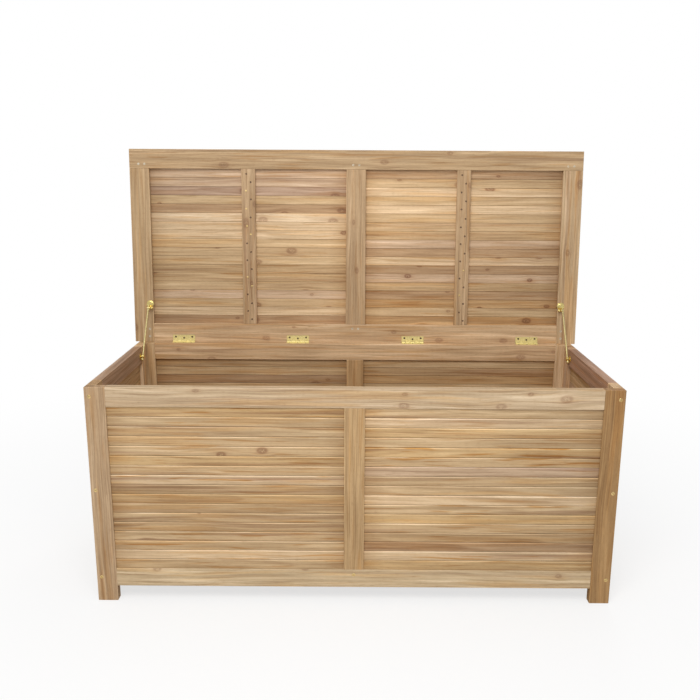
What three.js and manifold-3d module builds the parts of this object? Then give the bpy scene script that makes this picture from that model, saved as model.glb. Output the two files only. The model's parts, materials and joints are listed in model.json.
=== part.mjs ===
// A slatted hardwood storage box for a deck, with a hinged lid that stands open.
// Millimetres, +X to the right, +Y to the back, +Z up, standing on z = 0.
// The lid is drawn open. The origin is under the middle of the whole object as it stands.

import * as THREE from 'three';
import { mergeVertices } from 'three/addons/utils/BufferGeometryUtils.js';
import Module from 'manifold-3d';

// ---------------------------------------------------------------- driving dimensions

const boxWidth = 1480;
const boxDepth = 615;
const boxHeight = 640;
const stock = 27;                 // thickness of every frame member
const legWidth = 57;
const topRailHeight = 55.5;
const bottomRailHeight = 54.4;
const footHeight = 47;            // clear space under the bottom rails

const lidOverhangSide = 15;
const lidOverhangFront = 23;
const lidOverhangBack = 5.5;      // reaches past the hinge axis and hides the joint
const lidStileWidth = 65;
const lidRailWidth = 63;
const lidCentreStileWidth = 66;
const battenWidth = 46;
const battenOffset = 360;         // from the middle of the lid
const openAngle = THREE.MathUtils.degToRad(94.4);

const slatThickness = 12;
const slatInset = 4.5;            // wall slats lie this far in from the outer face
const lidSlatInset = 3;
const wallSlats = 17;
const lidSlats = 18;
const floorBoards = 9;
const vHalfWidth = 1.6;           // V joint between two slats
const vDepth = 1.8;

const fit = 0.3;                  // gap left in every joint
const past = 1;                   // a cutter runs this far past the piece that it cuts
const sunk = 2;                   // a joined piece starts this far inside its neighbour
const grooveDepth = 8;
const tongueShort = 0.5;          // a slat stops this short of the bottom of its groove
const tenonThickness = 12;
const tenonLength = 38;
const tenonShoulder = 8;          // step at the two edges of a tenon

const bearerWidth = 45;
const bearerHeight = 31;
const floorGap = 3.5;             // drain gap along the front and back walls
const boardEndGap = 1;

const hingeLength = 76;
const hingeOffsets = [-588, -197, 197, 588];
const leafReach = 22;             // from the hinge axis to the edge of a leaf
const leafThickness = 2;
const knuckleRadius = 3.2;
const knuckleCount = 5;
const hingePinRadius = 1.6;
const hingeAxisBehindBox = 3.5;
const lidClearance = 1;           // between the closed lid and the top of the box

const stayPivotReach = 114.5;     // from the hinge axis along the lid
const stayPivotDrop = 12;         // below the hinge axis with the lid closed
const stayPlateReach = 127.5;
const stayPlateFromWall = 13;     // from the inner face of the end wall to the plate's middle
const stayPlateRadius = 12.5;
const stayPlateThickness = 2;
const stayPlateBevel = 1.2;
const lugThickness = 4.5;
const lugRadius = 4.6;
const pivotRadius = 2;
const pivotHeadRadius = 3.4;
const pivotHeadThickness = 1.2;
const knobRadius = 4.8;
const eyeRadius = 5.5;
const eyeWidth = 5.4;
const ferruleRadius = 3.9;
const ferruleEnd = 10.8;          // from the pivot
const rodRadius = 3;
const stopRadius = 4.6;
const stopLength = 6;
const stopPlay = 0.5;             // between the stop and the swivel with the lid open
const bossRadius = 7;
const bossHalfWidth = 5.2;
const trunnionRadius = 3;
const swivelPlateRadius = 11;
const swivelPlateThickness = 3;
const swivelPlay = 0.5;           // between the swivel and its plate
const swivelDrop = THREE.MathUtils.degToRad(15);
const rodFromWall = 8.5;          // from the inner face of the end wall to the rod's middle

// ---------------------------------------------------------------- worked-out dimensions

const halfWidth = boxWidth / 2;
const halfDepth = boxDepth / 2;
const lidLength = boxDepth + lidOverhangFront + lidOverhangBack;
const lidWidth = boxWidth + 2 * lidOverhangSide;
const hingeAxis = { y: halfDepth + hingeAxisBehindBox, z: boxHeight + lidClearance / 2 };
const wallTop = boxHeight - topRailHeight;
const wallBottom = footHeight + bottomRailHeight;
const sideLength = boxDepth - 2 * stock;
const innerHalfWidth = halfWidth - stock;
const rodPlane = innerHalfWidth - rodFromWall;

// The open lid leans past the upright, so its outer face is the furthest point back.
const lidPastAxis = lidOverhangBack - hingeAxisBehindBox;
const lidFrontReach = lidLength - lidPastAxis;
const lidTopReach = lidClearance / 2 + stock;
const openBack = lidTopReach * Math.sin(openAngle) - lidFrontReach * Math.cos(openAngle);
const middleY = (hingeAxis.y + openBack - halfDepth) / 2;

// ---------------------------------------------------------------- materials

const teak = { color: 0xb98d5b, roughness: 0.6, metalness: 0 };
const slatTeak = { color: 0xc79b68, roughness: 0.6, metalness: 0 };
const brass = { color: 0xd8b65c, roughness: 0.3, metalness: 1 };

// ---------------------------------------------------------------- joining and cutting

const wasm = await Module();
wasm.setup();

function toSolid(geometry) {
  const bare = geometry.clone();
  bare.deleteAttribute('normal');
  bare.deleteAttribute('uv');
  const merged = mergeVertices(bare, 1e-4);
  return new wasm.Manifold(new wasm.Mesh({
    numProp: 3,
    vertProperties: new Float32Array(merged.attributes.position.array),
    triVerts: new Uint32Array(merged.index.array),
  }));
}

function toGeometry(solid) {
  const mesh = solid.getMesh();
  const geometry = new THREE.BufferGeometry();
  geometry.setAttribute('position', new THREE.BufferAttribute(mesh.vertProperties, 3));
  geometry.setIndex(new THREE.BufferAttribute(mesh.triVerts, 1));
  return geometry;
}

function shaped(joined, removed = []) {
  let solid = toSolid(joined[0]);
  for (const geometry of joined.slice(1)) solid = solid.add(toSolid(geometry));
  for (const geometry of removed) solid = solid.subtract(toSolid(geometry));
  return toGeometry(solid);
}

function block(x0, x1, y0, y1, z0, z1) {
  const geometry = new THREE.BoxGeometry(x1 - x0, y1 - y0, z1 - z0);
  return geometry.translate((x0 + x1) / 2, (y0 + y1) / 2, (z0 + z1) / 2);
}

function rodAlongX(radius, x0, x1, y = 0, z = 0, segments = 12) {
  const geometry = new THREE.CylinderGeometry(radius, radius, x1 - x0, segments);
  return geometry.rotateZ(Math.PI / 2).translate((x0 + x1) / 2, y, z);
}

function addPart(group, name, geometry, look) {
  const mesh = new THREE.Mesh(geometry, new THREE.MeshStandardMaterial(look));
  mesh.name = name;
  group.add(mesh);
  return mesh;
}

// ---------------------------------------------------------------- frame and panel joinery
// A panel is drawn flat: x along it, z up it, and y from its outer face (0) to its inner
// face (stock). Stiles and rails are {x: [from, to], z: [from, to]}.

const tenonFrom = (stock - tenonThickness) / 2;

// A tenon that leaves the piece at one end, or the mortise for it when `play` is above 0.
function tenon(piece, end, play = 0) {
  const [x0, x1] = piece.x;
  const [z0, z1] = piece.z;
  const length = tenonLength + (play > 0 ? past : 0);
  const y0 = tenonFrom - play;
  const y1 = tenonFrom + tenonThickness + play;
  const side = tenonShoulder - play;
  const root = play > 0 ? 0 : sunk;
  if (end === 'left') return block(x0 - length, x0 + root, y0, y1, z0 + side, z1 - side);
  if (end === 'right') return block(x1 - root, x1 + length, y0, y1, z0 + side, z1 - side);
  if (end === 'bottom') return block(x0 + side, x1 - side, y0, y1, z0 - length, z0 + root);
  return block(x0 + side, x1 - side, y0, y1, z1 - root, z1 + length);
}

// The groove around one bay, cut from every member that borders it.
function bayGroove(bay, inset) {
  const [x0, x1] = bay.x;
  const [z0, z1] = bay.z;
  return block(
    x0 - grooveDepth, x1 + grooveDepth,
    inset - fit, inset + slatThickness + fit,
    z0 - grooveDepth, z1 + grooveDepth,
  );
}

// A member stops just short of the face that it butts against.
function member(piece, tenonEnds, removed) {
  const [x0, x1] = piece.x;
  const [z0, z1] = piece.z;
  const short = (end) => (tenonEnds.includes(end) ? fit : 0);
  const body = block(
    x0 + short('left'), x1 - short('right'), 0, stock, z0 + short('bottom'), z1 - short('top'),
  );
  return shaped([body, ...tenonEnds.map((end) => tenon(piece, end))], removed);
}

// Horizontal slats edge to edge, with a V joint between each two on both faces.
// The outline is drawn in (y, z) and extruded along x.
function slatField(bay, count, inset) {
  const reach = grooveDepth - tongueShort;
  const [x0, x1] = [bay.x[0] - reach, bay.x[1] + reach];
  const [z0, z1] = bay.z;
  const pitch = (z1 - z0) / count;
  const inner = inset + slatThickness;
  const outline = new THREE.Shape();
  outline.moveTo(inset, z0 - reach);
  outline.lineTo(inner, z0 - reach);
  for (let joint = 1; joint < count; joint += 1) {
    const z = z0 + joint * pitch;
    outline.lineTo(inner, z - vHalfWidth);
    outline.lineTo(inner - vDepth, z);
    outline.lineTo(inner, z + vHalfWidth);
  }
  outline.lineTo(inner, z1 + reach);
  outline.lineTo(inset, z1 + reach);
  for (let joint = count - 1; joint > 0; joint -= 1) {
    const z = z0 + joint * pitch;
    outline.lineTo(inset, z + vHalfWidth);
    outline.lineTo(inset + vDepth, z);
    outline.lineTo(inset, z - vHalfWidth);
  }
  outline.closePath();
  const geometry = new THREE.ExtrudeGeometry(outline, { depth: x1 - x0, bevelEnabled: false });
  const turn = new THREE.Matrix4().makeBasis(
    new THREE.Vector3(0, 1, 0), new THREE.Vector3(0, 0, 1), new THREE.Vector3(1, 0, 0),
  );
  return geometry.applyMatrix4(turn).translate(x0, 0, 0);
}

// ---------------------------------------------------------------- the four walls

const legHeights = [0, boxHeight];
const topRailHeights = [wallTop, boxHeight];
const bottomRailHeights = [footHeight, wallBottom];
const wallHeights = [wallBottom, wallTop];

// Front and back: two legs, two rails, a centre stile and two bays of slats.
// `sides` names the two halves of the box in the order that the panel's x meets them.
function longWall(name, sides, removedFromTopRail = []) {
  const wall = new THREE.Group();
  const half = legWidth / 2;
  const inner = halfWidth - legWidth;
  const legs = [
    { x: [-halfWidth, -inner], z: legHeights },
    { x: [inner, halfWidth], z: legHeights },
  ];
  const topRail = { x: [-inner, inner], z: topRailHeights };
  const bottomRail = { x: [-inner, inner], z: bottomRailHeights };
  const centreStile = { x: [-half, half], z: wallHeights };
  const bays = [
    { x: [-inner, -half], z: wallHeights },
    { x: [half, inner], z: wallHeights },
  ];
  const grooves = bays.map((bay) => bayGroove(bay, slatInset));
  const railEnds = ['left', 'right'];
  legs.forEach((leg, index) => {
    const mortises = [topRail, bottomRail].map((rail) => tenon(rail, railEnds[index], fit));
    const shape = member(leg, [], [...mortises, ...grooves]);
    addPart(wall, `${name}_${sides[index]}_leg`, shape, teak);
  });
  const topCuts = [tenon(centreStile, 'top', fit), ...grooves, ...removedFromTopRail];
  const bottomCuts = [tenon(centreStile, 'bottom', fit), ...grooves];
  addPart(wall, `${name}_top_rail`, member(topRail, railEnds, topCuts), teak);
  addPart(wall, `${name}_bottom_rail`, member(bottomRail, railEnds, bottomCuts), teak);
  const stileShape = member(centreStile, ['top', 'bottom'], grooves);
  addPart(wall, `${name}_centre_stile`, stileShape, teak);
  bays.forEach((bay, index) => {
    const shape = slatField(bay, wallSlats, slatInset);
    addPart(wall, `${name}_slats_${sides[index]}`, shape, slatTeak);
  });
  return wall;
}

// Ends: a narrower panel of the same make, held between the front and back walls.
function endWall(name) {
  const wall = new THREE.Group();
  const outer = sideLength / 2 - fit;
  const inner = outer - legWidth;
  const stiles = {
    left: { x: [-outer, -inner], z: legHeights },
    right: { x: [inner, outer], z: legHeights },
  };
  const topRail = { x: [-inner, inner], z: topRailHeights };
  const bottomRail = { x: [-inner, inner], z: bottomRailHeights };
  const bay = { x: [-inner, inner], z: wallHeights };
  const groove = bayGroove(bay, slatInset);
  const place = name === 'left' ? { left: 'back', right: 'front' } : { left: 'front', right: 'back' };
  for (const [side, stile] of Object.entries(stiles)) {
    const mortises = [tenon(topRail, side, fit), tenon(bottomRail, side, fit)];
    addPart(wall, `${name}_end_${place[side]}_stile`, member(stile, [], [...mortises, groove]), teak);
  }
  const railEnds = ['left', 'right'];
  addPart(wall, `${name}_end_top_rail`, member(topRail, railEnds, [groove]), teak);
  addPart(wall, `${name}_end_bottom_rail`, member(bottomRail, railEnds, [groove]), teak);
  addPart(wall, `${name}_end_slats`, slatField(bay, wallSlats, slatInset), slatTeak);
  return wall;
}

// ---------------------------------------------------------------- the floor

function floor() {
  const group = new THREE.Group();
  const bearerTop = wallBottom;
  const bearerReach = sideLength / 2 - fit;
  const endBearer = innerHalfWidth - bearerWidth / 2 - fit;
  const places = { left: -endBearer, centre: 0, right: endBearer };
  for (const [side, x] of Object.entries(places)) {
    const shape = block(
      x - bearerWidth / 2, x + bearerWidth / 2,
      -bearerReach, bearerReach, bearerTop - bearerHeight, bearerTop,
    );
    addPart(group, `floor_bearer_${side}`, shape, teak);
  }
  // Boards lie on the bearers: drawn as an upright field, then laid over on its face.
  const boardReach = sideLength / 2 - floorGap - grooveDepth;
  const boardEnd = innerHalfWidth - boardEndGap - grooveDepth;
  const halves = { left: [-boardEnd, -grooveDepth], right: [grooveDepth, boardEnd] };
  for (const [side, x] of Object.entries(halves)) {
    const bay = { x, z: [-boardReach, boardReach] };
    const shape = slatField(bay, floorBoards, 0).rotateX(-Math.PI / 2);
    const mesh = addPart(group, `floor_boards_${side}`, shape, slatTeak);
    mesh.position.z = bearerTop + fit + slatThickness;
  }
  return group;
}

// ---------------------------------------------------------------- butt hinges
// Drawn about the hinge axis with the lid closed: the box leaf lies below it, the lid leaf above.

const knuckleLength = hingeLength / knuckleCount;
const leafGap = lidClearance / 2;

function hingeLeaf(isLidLeaf) {
  const half = hingeLength / 2;
  const zNear = isLidLeaf ? leafGap : -leafGap - leafThickness;
  const plateEdge = knuckleRadius + 2 * fit;
  const plate = block(-half, half, -leafReach, -plateEdge, zNear, zNear + leafThickness);
  const joined = [plate];
  for (let index = isLidLeaf ? 1 : 0; index < knuckleCount; index += 2) {
    const x0 = -half + index * knuckleLength + fit / 2;
    const x1 = x0 + knuckleLength - fit;
    const tabFrom = -plateEdge - fit;
    const tabTo = -hingePinRadius - 2 * fit;
    joined.push(block(x0, x1, tabFrom, tabTo, zNear, zNear + leafThickness));
    joined.push(rodAlongX(knuckleRadius, x0, x1));
  }
  const bore = rodAlongX(hingePinRadius + fit, -half - past, half + past);
  return shaped(joined, [bore]);
}

function hingePin() {
  return rodAlongX(hingePinRadius, -hingeLength / 2 - fit, hingeLength / 2 + fit);
}

// Housings cut for the leaves, in the drawing frame of a panel.
function backRailHousings() {
  const reach = leafReach - hingeAxisBehindBox + fit;
  const depth = leafThickness + fit;
  return hingeOffsets.map((x) => block(
    x - hingeLength / 2 - fit, x + hingeLength / 2 + fit,
    -past, reach, boxHeight - depth, boxHeight + past,
  ));
}

// In the lid each leaf has a housing, and the knuckles have a deeper one at the rear edge.
function lidRailHousings() {
  const leaf = { from: lidPastAxis + leafReach + fit, depth: leafThickness + fit };
  const knuckles = {
    from: lidPastAxis + knuckleRadius + 2 * fit,
    depth: knuckleRadius - lidClearance / 2 + fit,
  };
  const housing = (x, { from, depth }) => block(
    x - hingeLength / 2 - fit, x + hingeLength / 2 + fit,
    stock - depth, stock + past, lidLength - from, lidLength + past,
  );
  return hingeOffsets.flatMap((x) => [housing(x, leaf), housing(x, knuckles)]);
}

// ---------------------------------------------------------------- the lid
// Drawn as a panel lying flat: z of the panel runs from the front edge to the rear edge.

function lidPanel() {
  const panel = new THREE.Group();
  const outer = lidWidth / 2;
  const inner = outer - lidStileWidth;
  const half = lidCentreStileWidth / 2;
  const rearRailFrom = lidLength - lidRailWidth;
  const bayDepths = [lidRailWidth, rearRailFrom];
  const stiles = {
    left: { x: [-outer, -inner], z: [lidRailWidth, lidLength] },
    right: { x: [inner, outer], z: [lidRailWidth, lidLength] },
  };
  const frontRail = { x: [-outer, outer], z: [0, lidRailWidth] };
  const rearRail = { x: [-inner, inner], z: [rearRailFrom, lidLength] };
  const centreStile = { x: [-half, half], z: bayDepths };
  const bays = {
    left: { x: [-inner, -half], z: bayDepths },
    right: { x: [half, inner], z: bayDepths },
  };
  const grooves = Object.values(bays).map((bay) => bayGroove(bay, lidSlatInset));
  const stileTenons = [stiles.left, centreStile, stiles.right].map((p) => tenon(p, 'bottom', fit));
  addPart(panel, 'lid_front_rail', member(frontRail, [], [...stileTenons, ...grooves]), teak);
  for (const [side, stile] of Object.entries(stiles)) {
    const cuts = [tenon(rearRail, side, fit), ...grooves];
    addPart(panel, `lid_${side}_stile`, member(stile, ['bottom'], cuts), teak);
  }
  const rearCuts = [tenon(centreStile, 'top', fit), ...grooves, ...lidRailHousings()];
  addPart(panel, 'lid_rear_rail', member(rearRail, ['left', 'right'], rearCuts), teak);
  addPart(panel, 'lid_centre_stile', member(centreStile, ['top', 'bottom'], grooves), teak);
  for (const [side, bay] of Object.entries(bays)) {
    addPart(panel, `lid_slats_${side}`, slatField(bay, lidSlats, lidSlatInset), slatTeak);
    const middle = side === 'left' ? -battenOffset : battenOffset;
    const batten = block(
      middle - battenWidth / 2, middle + battenWidth / 2,
      lidSlatInset + slatThickness + fit, stock, lidRailWidth + fit, rearRailFrom - fit,
    );
    addPart(panel, `lid_batten_${side}`, batten, teak);
  }
  return panel;
}

// ---------------------------------------------------------------- rod lid stays
// The lid pivot and the swivel on the box are equally far from the hinge axis. The hinge,
// the pivot and the swivel then always make an isosceles triangle, so the rod turns by half
// the lid's angle against both the lid and the box, and slides through the swivel.

const stayRadius = Math.hypot(stayPivotReach, stayPivotDrop);
const closedPivot = { y: -stayPivotReach, z: -stayPivotDrop };
const swivel = { y: -stayRadius * Math.cos(swivelDrop), z: -stayRadius * Math.sin(swivelDrop) };
const openPivot = {
  y: closedPivot.y * Math.cos(openAngle) + closedPivot.z * Math.sin(openAngle),
  z: -closedPivot.y * Math.sin(openAngle) + closedPivot.z * Math.cos(openAngle),
};
const rodSpan = Math.hypot(openPivot.y - swivel.y, openPivot.z - swivel.z);
const rodTilt = Math.atan2(swivel.y - openPivot.y, openPivot.z - swivel.z);

// The two ends of a length along x, mirrored for the left-hand stay.
function mirrored(side, x0, x1) {
  return [side * x0, side * x1].sort((a, b) => a - b);
}

// A round plate on the lid's underside, with a lug that holds the pivot pin.
function stayPlate(side) {
  const lugOuter = rodPlane - eyeWidth / 2 - fit;
  const lugEnds = mirrored(side, lugOuter, lugOuter - lugThickness);
  const plateX = side * (innerHalfWidth - stayPlateFromWall);
  const plateTop = lidClearance / 2 - fit;
  const plateMiddle = plateTop - stayPlateThickness / 2;
  const disc = new THREE.CylinderGeometry(
    stayPlateRadius - stayPlateBevel, stayPlateRadius, stayPlateThickness, 24,
  );
  disc.rotateX(-Math.PI / 2).translate(plateX, -stayPlateReach, plateMiddle);
  const { y, z } = closedPivot;
  const lug = block(...lugEnds, y - lugRadius, y + lugRadius, z, plateMiddle);
  const lugEnd = rodAlongX(lugRadius, ...lugEnds, y, z);
  const bore = rodAlongX(pivotRadius + fit, lugEnds[0] - past, lugEnds[1] + past, y, z);
  return shaped([disc, lug, lugEnd], [bore]);
}

// The pivot pin, with a round knob on its inner end and a flat head beyond the rod's eye.
function stayPin(side) {
  const lugInner = rodPlane - eyeWidth / 2 - fit - lugThickness;
  const headFrom = rodPlane + eyeWidth / 2 + fit;
  const headTo = headFrom + pivotHeadThickness;
  const pin = rodAlongX(pivotRadius, ...mirrored(side, lugInner - knobRadius / 2, headTo));
  const head = rodAlongX(pivotHeadRadius, ...mirrored(side, headFrom, headTo));
  const knob = new THREE.SphereGeometry(knobRadius, 14, 8);
  knob.rotateZ(Math.PI / 2).translate(side * (lugInner - knobRadius), 0, 0);
  return shaped([pin, head, knob]).translate(0, closedPivot.y, closedPivot.z);
}

function upright(radius, zTop, zBottom, segments) {
  const geometry = new THREE.CylinderGeometry(radius, radius, zTop - zBottom, segments);
  return geometry.rotateX(Math.PI / 2).translate(0, 0, (zTop + zBottom) / 2);
}

// The rod hangs down from its eye at the origin, and ends in a stop under the swivel.
function stayRod() {
  const stopTop = -rodSpan - bossRadius - stopPlay;
  const shaftTop = -(lugRadius + eyeRadius) / 2;
  const eye = rodAlongX(eyeRadius, -eyeWidth / 2, eyeWidth / 2);
  const shaft = upright(rodRadius, shaftTop, stopTop - stopLength / 2, 12);
  const ferrule = upright(ferruleRadius, shaftTop, -ferruleEnd, 12);
  const stop = upright(stopRadius, stopTop, stopTop - stopLength, 14);
  const bore = rodAlongX(pivotRadius + fit, -eyeWidth, eyeWidth);
  return shaped([eye, shaft, ferrule, stop], [bore]);
}

// A barrel with a cross hole for the rod, and a trunnion that turns in the plate on the box.
function staySwivel(side) {
  const trunnionEnd = bossHalfWidth + swivelPlay + swivelPlateThickness - fit;
  const barrel = rodAlongX(bossRadius, -bossHalfWidth, bossHalfWidth, 0, 0, 20);
  const trunnion = rodAlongX(trunnionRadius, ...mirrored(side, bossHalfWidth - sunk, trunnionEnd));
  const hole = upright(rodRadius + fit, 2 * bossRadius, -2 * bossRadius, 12);
  return shaped([barrel, trunnion], [hole]);
}

function swivelPlate(side) {
  const outer = innerHalfWidth - fit;
  const ends = mirrored(side, outer - swivelPlateThickness, outer);
  const plate = rodAlongX(swivelPlateRadius, ...ends, 0, 0, 24);
  return shaped([plate], [rodAlongX(trunnionRadius + fit, ends[0] - past, ends[1] + past)]);
}

// ---------------------------------------------------------------- assembly

const storageBox = new THREE.Group();
storageBox.position.y = -middleY;

const frontWall = longWall('front', ['left', 'right']);
frontWall.position.y = -halfDepth;
const backWall = longWall('back', ['right', 'left'], backRailHousings());
backWall.rotation.z = Math.PI;
backWall.position.y = halfDepth;
const leftEnd = endWall('left');
leftEnd.rotation.z = -Math.PI / 2;
leftEnd.position.x = -halfWidth;
const rightEnd = endWall('right');
rightEnd.rotation.z = Math.PI / 2;
rightEnd.position.x = halfWidth;
storageBox.add(frontWall, backWall, leftEnd, rightEnd, floor());

// Everything about the hinge axis: the fixed leaves and pins here, the lid in its own group.
const axisGroup = new THREE.Group();
axisGroup.position.set(0, hingeAxis.y, hingeAxis.z);
storageBox.add(axisGroup);

const lid = new THREE.Group();
lid.rotation.x = -openAngle;
axisGroup.add(lid);

const flatPanel = lidPanel();
flatPanel.rotation.x = -Math.PI / 2;
flatPanel.position.set(0, -lidFrontReach, lidTopReach);
lid.add(flatPanel);

hingeOffsets.forEach((x, index) => {
  const label = index + 1;
  addPart(axisGroup, `hinge_${label}_box_leaf`, hingeLeaf(false), brass).position.x = x;
  addPart(axisGroup, `hinge_${label}_pin`, hingePin(), brass).position.x = x;
  addPart(lid, `hinge_${label}_lid_leaf`, hingeLeaf(true), brass).position.x = x;
});

for (const [name, side] of [['left', -1], ['right', 1]]) {
  addPart(lid, `${name}_stay_lid_plate`, stayPlate(side), brass);
  addPart(lid, `${name}_stay_pivot_pin`, stayPin(side), brass);
  const rod = addPart(axisGroup, `${name}_stay_rod`, stayRod(), brass);
  rod.position.set(side * rodPlane, openPivot.y, openPivot.z);
  rod.rotation.x = rodTilt;
  const boss = addPart(axisGroup, `${name}_stay_swivel`, staySwivel(side), brass);
  boss.position.set(side * rodPlane, swivel.y, swivel.z);
  boss.rotation.x = rodTilt;
  const plate = addPart(axisGroup, `${name}_stay_box_plate`, swivelPlate(side), brass);
  plate.position.set(0, swivel.y, swivel.z);
}

export default storageBox;
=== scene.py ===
"""The looks of a slatted teak storage box with a hinged lid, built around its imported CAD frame.

Everything is in metres, in the frame's own axes: +X right, +Y back, +Z up. Pieces of the lid are
drawn with the lid shut and flat, and are then turned open about the hinge."""

import json
import math
import random

import bmesh
import bpy
from mathutils import Matrix, Vector


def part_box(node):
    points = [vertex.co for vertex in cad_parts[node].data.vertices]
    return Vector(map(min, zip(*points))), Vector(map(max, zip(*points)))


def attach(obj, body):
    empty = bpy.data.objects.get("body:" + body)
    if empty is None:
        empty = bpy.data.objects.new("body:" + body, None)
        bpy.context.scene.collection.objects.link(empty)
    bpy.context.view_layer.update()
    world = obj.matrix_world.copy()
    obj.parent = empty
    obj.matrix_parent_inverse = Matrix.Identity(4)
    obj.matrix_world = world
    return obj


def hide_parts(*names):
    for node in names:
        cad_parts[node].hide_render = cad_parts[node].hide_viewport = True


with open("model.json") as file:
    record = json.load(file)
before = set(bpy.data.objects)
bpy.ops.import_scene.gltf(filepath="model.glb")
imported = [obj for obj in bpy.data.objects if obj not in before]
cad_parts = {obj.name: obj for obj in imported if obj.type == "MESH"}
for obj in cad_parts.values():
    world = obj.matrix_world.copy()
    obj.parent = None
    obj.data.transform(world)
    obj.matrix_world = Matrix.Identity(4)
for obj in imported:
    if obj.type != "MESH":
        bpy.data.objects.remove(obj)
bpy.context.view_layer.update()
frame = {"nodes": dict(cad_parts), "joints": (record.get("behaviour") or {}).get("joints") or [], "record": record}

# ---------------------------------------------------------------- sizes

mm = 0.001

ARRIS = 1.3 * mm                 # rounding along the edges of a frame member
WALL_SLATS = 17
LID_SLATS = 18
FLOOR_BOARDS = 9
SLAT_REACH = 7.5 * mm            # how far the outermost slats run into their grooves
SLAT_GAP = 0.9 * mm              # between the slats of a wall
LID_SLAT_GAP = 0.4 * mm
SLAT_CHAMFER = 2.8 * mm          # along the upper outer edge of a slat
SHADOW_CHAMFER = 1.0 * mm        # along the lower outer edge of a slat
CHAMFER_HIGHLIGHT = 1.5                     # painted highlight on a slat's upper outer chamfer: how much lighter the wood is painted there
ARRIS_HIGHLIGHT = 1.25              # painted highlight along the rounded edges of a frame member
JOINT_SHADE = 0.5                      # painted shade inside a joint and on a slat's lower outer chamfer
BACK_EDGE_SHADE = 0.8                  # painted shade along a slat's back edges, where two slats meet
SHADE_POWERS = (1.0, 1.15, 1.4)  # painted highlights are creamier and painted shade browner, in R, G and B
INNER_CHAMFER = 0.6 * mm         # along those back edges
FLOOR_GAP = 4 * mm
TONGUE = 4 * mm                  # thickness of the tongue on a slat's edge
TONGUE_REACH = 4 * mm
TONGUE_PLAY = 0.4 * mm
STATIONS = 10                    # steps along a slat, so that it can bow

HINGE_LENGTH = 76 * mm
LEAF_REACH = 22 * mm             # from the hinge axis to the edge of a leaf
LEAF_EDGE = 3.8 * mm             # from the hinge axis to the near edge of the plate
LEAF_NEAR = 0.5 * mm             # from the hinge axis to the near face of a leaf
LEAF_THICKNESS = 2 * mm
KNUCKLES = 5
KNUCKLE_RADIUS = 3.2 * mm
KNUCKLE_GAP = 0.5 * mm
KNUCKLE_ROUNDING = 1.0 * mm
LEAF_CORNER = 1.5 * mm
HINGE_PIN_RADIUS = 1.6 * mm
HINGE_SCREWS = ((-28 * mm, -15 * mm), (0, -11.5 * mm), (28 * mm, -15 * mm))
HINGE_SCREW_RADIUS = 3.1 * mm
HINGE_SCREW_SINK = 0.35 * mm     # from a leaf's face down to its screws' rims
PLAY = 0.3 * mm                  # round every pin, and beside every part that turns

LEG_SCREW_RADIUS = 5.4 * mm
LEG_SCREW_FROM_EDGE = 13.5 * mm
LEG_SCREW_HEIGHTS = (613 * mm, 340 * mm, 74 * mm)
RAIL_SCREW_HEIGHT = 86 * mm
BATTEN_SCREW_RADIUS = 3.1 * mm
BATTEN_SCREW_STAGGER = 7 * mm
BRIGHT_SHARE = 0.25              # the share of the batten screws that still shine
PEG_RADIUS = 4 * mm
PEG_SPACING = 20 * mm
PEG_SHIFT = 8 * mm               # from the middle of a side stile towards the slats
PEG_PROUD = 0.12 * mm
TENON = 38 * mm
PEG_INSET = TENON / 2.6          # from the shoulder of a lid tenon to its pegs

# ---------------------------------------------------------------- the frame

X, Y, Z = Vector((1, 0, 0)), Vector((0, 1, 0)), Vector((0, 0, 1))
JOINTS = {joint["name"]: joint for joint in frame["joints"]}
LID_JOINT = JOINTS["lid_hinge"]
HINGE = Vector(LID_JOINT["pos_m"])
OPEN_ANGLE = math.radians(max(LID_JOINT["range_deg"]))
TO_SHUT = (
    Matrix.Translation(HINGE) @ Matrix.Rotation(OPEN_ANGLE, 4, "X") @ Matrix.Translation(-HINGE)
)
TO_OPEN = TO_SHUT.inverted()
BODY_OF = {
    node: body
    for body, nodes in frame["record"]["behaviour"]["bodies"].items()
    for node in nodes
}
BOX_LOW, BOX_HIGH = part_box("front_left_leg")[0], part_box("back_right_leg")[1]
BOX_MIDDLE = (BOX_LOW + BOX_HIGH) / 2


def to_rest(body):
    """The matrix from the drawing of a body to its place at rest."""
    return TO_OPEN if body == "lid" else Matrix.Identity(4)


def drawn_points(node):
    """A CAD node's points where it is drawn: with the lid shut for a piece of the lid."""
    matrix = TO_SHUT if BODY_OF[node] == "lid" else Matrix.Identity(4)
    return [matrix @ vertex.co for vertex in frame["nodes"][node].data.vertices]


def drawn_box(node):
    points = drawn_points(node)
    low = Vector(min(p[axis] for p in points) for axis in range(3))
    high = Vector(max(p[axis] for p in points) for axis in range(3))
    return low, high


def own_space(across, outward, centre):
    """The matrix from a board's own space: x along the grain, y across the board, z outward."""
    matrix = Matrix((across.cross(outward), across, outward)).transposed().to_4x4()
    matrix.translation = centre
    return matrix


# ---------------------------------------------------------------- shader nodes


def linear(red, green, blue):
    """A linear colour from one given on the usual scale of 0 to 255."""
    shares = (value / 255 for value in (red, green, blue))
    return Vector(v / 12.92 if v <= 0.04045 else ((v + 0.055) / 1.055) ** 2.4 for v in shares)


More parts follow.
